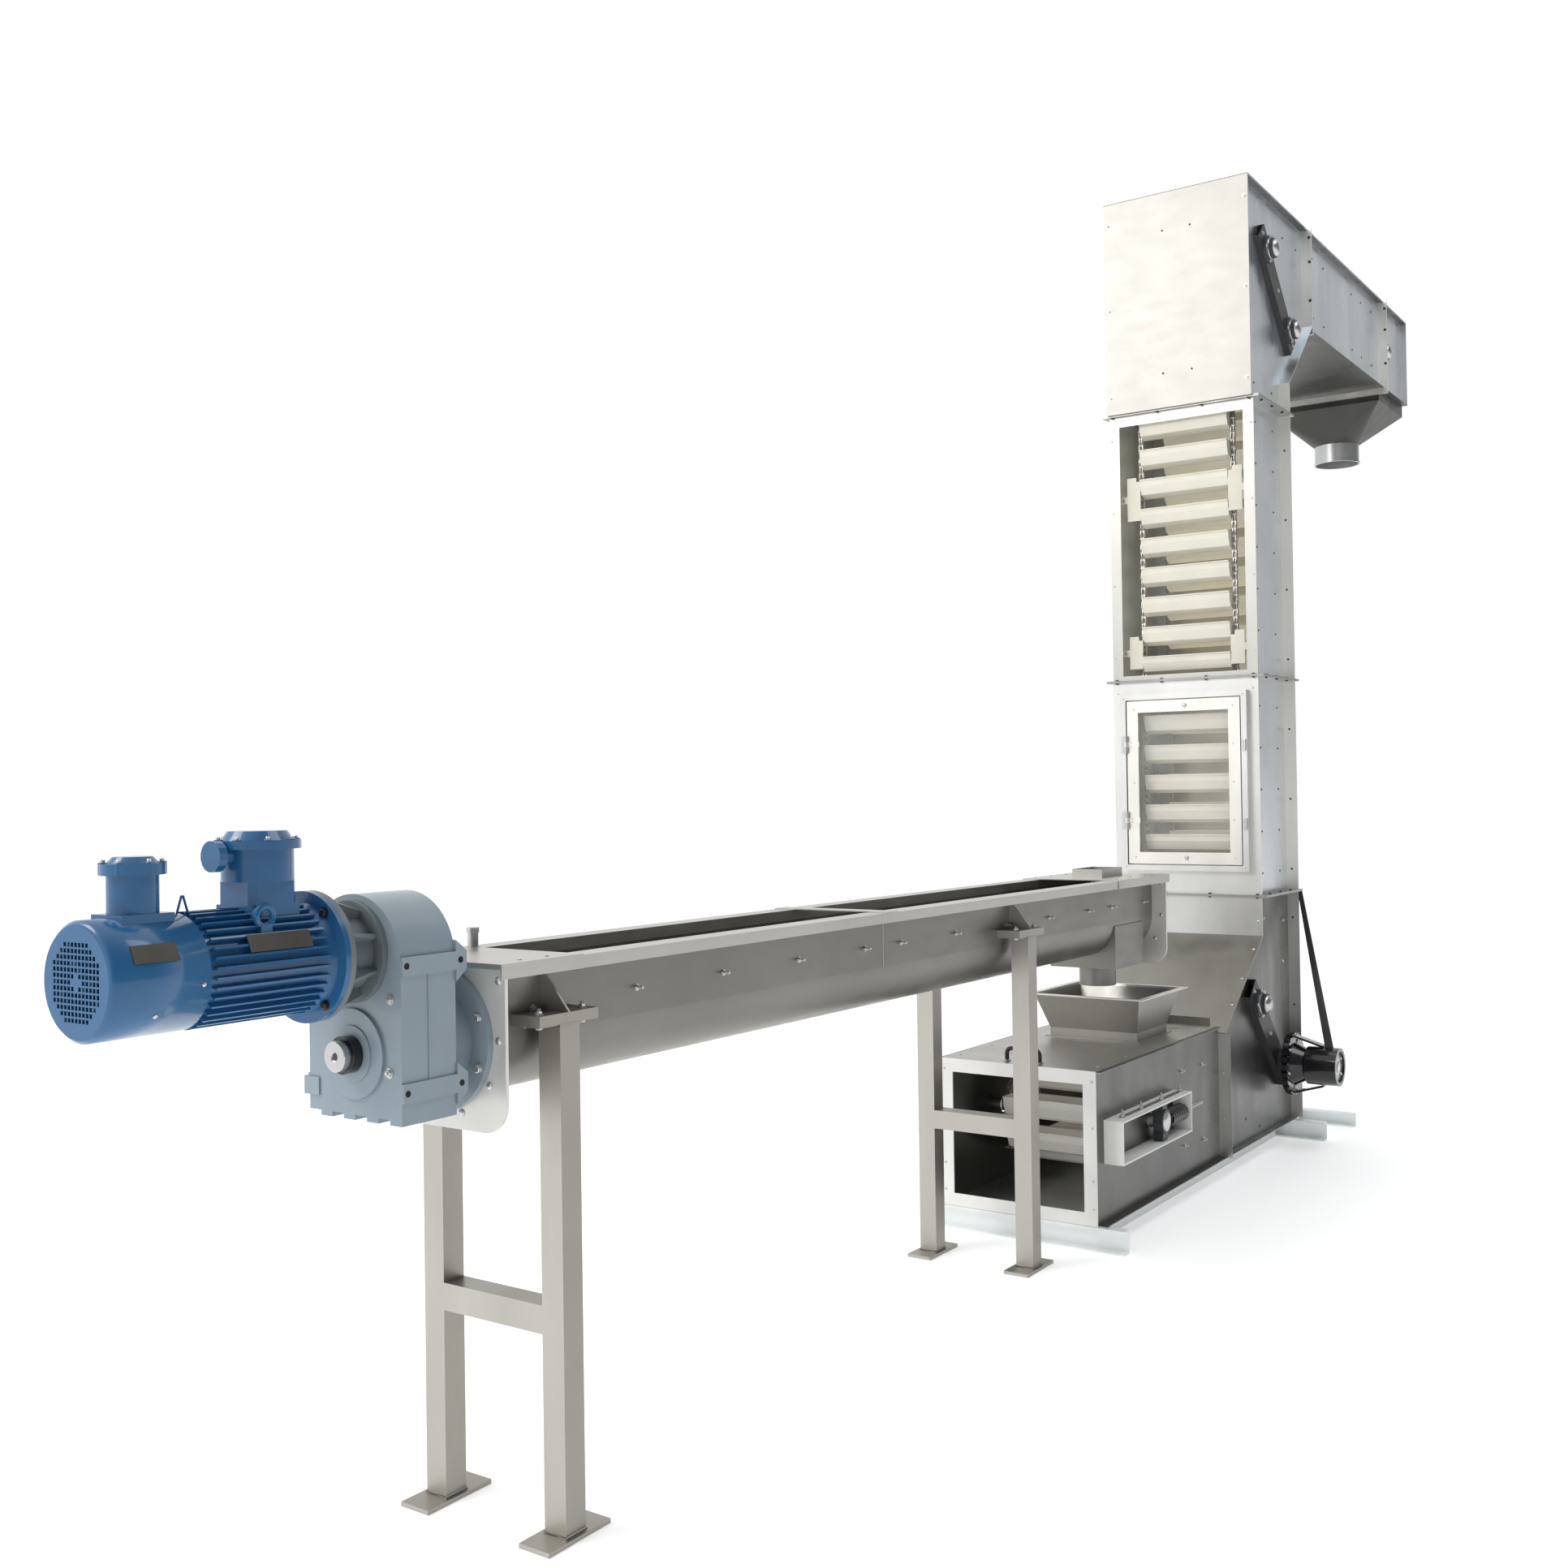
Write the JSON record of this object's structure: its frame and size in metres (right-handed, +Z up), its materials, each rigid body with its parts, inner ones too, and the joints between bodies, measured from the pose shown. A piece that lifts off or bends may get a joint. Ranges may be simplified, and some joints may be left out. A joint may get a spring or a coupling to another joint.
{
  "type": "bucket elevator with infeed screw conveyor",
  "caption": "Z-shaped bucket elevator: low inlet box, tall casing with a glazed door and an open bucket window, top arm with round outlet, and a trough screw conveyor that feeds it.",
  "frame": {"origin": "middle of the underside of the rear base channel, on the floor, in the machine's centre plane", "axes": "+X along the machine, from the feed end to the discharge; +Z up; +Y to the left-hand side seen along +X"},
  "size_m": [7.797, 1.047, 4.119],
  "materials": {
    "base_paint": "semi-gloss white paint",
    "sheet_steel": "matt rolled stainless sheet",
    "white_steel": "satin off-white paint",
    "guide_plastic": "matt pale plastic",
    "black_plastic": "satin black",
    "door_steel": "brushed stainless",
    "clear_pane": "clear acrylic sheet",
    "zinc_steel": "bright zinc plating",
    "chain_steel": "oiled steel",
    "bucket_plastic": "cream moulded plastic",
    "dark_steel": "dark satin paint",
    "cast_housing": "painted cast iron",
    "spring_steel": "dark spring steel",
    "brushed_steel": "brushed stainless sheet",
    "leg_steel": "brushed stainless tube",
    "black_gloss": "glossy black paint",
    "gearbox_paint": "satin blue-grey paint",
    "motor_paint": "glossy blue paint"
  },
  "bodies": {
    "root": {"base_channels": "base_paint", "base_rails": "base_paint", "floor_plate": "sheet_steel", "inlet_box_sides": "sheet_steel", "inlet_box_top": "sheet_steel", "inlet_end_frame": "white_steel", "chain_guides": "guide_plastic", "hopper": "sheet_steel", "box_handle": "black_plastic", "boot_sides": "sheet_steel", "boot_front_plate": "sheet_steel", "rear_walls": "sheet_steel", "door_section_sides": "sheet_steel", "door_section_front": "sheet_steel", "open_section_sides": "sheet_steel", "open_section_front": "sheet_steel", "casing_flanges": "sheet_steel", "door_fittings": "zinc_steel", "head_front": "sheet_steel", "head_sides": "sheet_steel", "top_plates": "sheet_steel", "head_slope_plate": "sheet_steel", "arm_sides": "sheet_steel", "arm_floor": "sheet_steel", "end_sides": "sheet_steel", "end_plate": "sheet_steel", "discharge_chute": "sheet_steel", "discharge_outlet": "sheet_steel", "carrying_chains": "chain_steel", "front_strand_buckets": "bucket_plastic", "rear_strand_buckets": "bucket_plastic", "inlet_buckets": "bucket_plastic", "head_buckets": "bucket_plastic", "wheel_shafts": "chain_steel", "bearing_beams": "dark_steel", "flange_bearings": "cast_housing", "takeup_frames": "white_steel", "takeup_bearings": "cast_housing", "takeup_springs": "spring_steel", "drive_sprocket": "black_gloss", "drive_can": "black_gloss", "stay_cable": "black_plastic", "trough": "brushed_steel", "trough_covers": "brushed_steel", "trough_end_plates": "brushed_steel", "screw_shaft": "brushed_steel", "screw_flight": "brushed_steel", "outlet_box": "brushed_steel", "near_leg_frame": "leg_steel", "far_leg_frame": "leg_steel", "saddle_brackets": "leg_steel", "gearbox": "gearbox_paint", "gearbox_cap": "gearbox_paint", "motor_neck": "cast_housing", "motor_body": "motor_paint", "fan_cowl": "motor_paint", "terminal_box": "motor_paint", "fan_terminal_box": "motor_paint"},
    "door": {"inspection_door": "door_steel", "door_pane": "clear_pane"}
  },
  "joints": [
    {"name": "door_hinge", "type": "hinge", "parent": "root", "child": "door", "pos_m": [-0.44, 0.2525, 1.564], "axis": [0, 0, -1], "range_deg": [0, 110]}
  ]
}
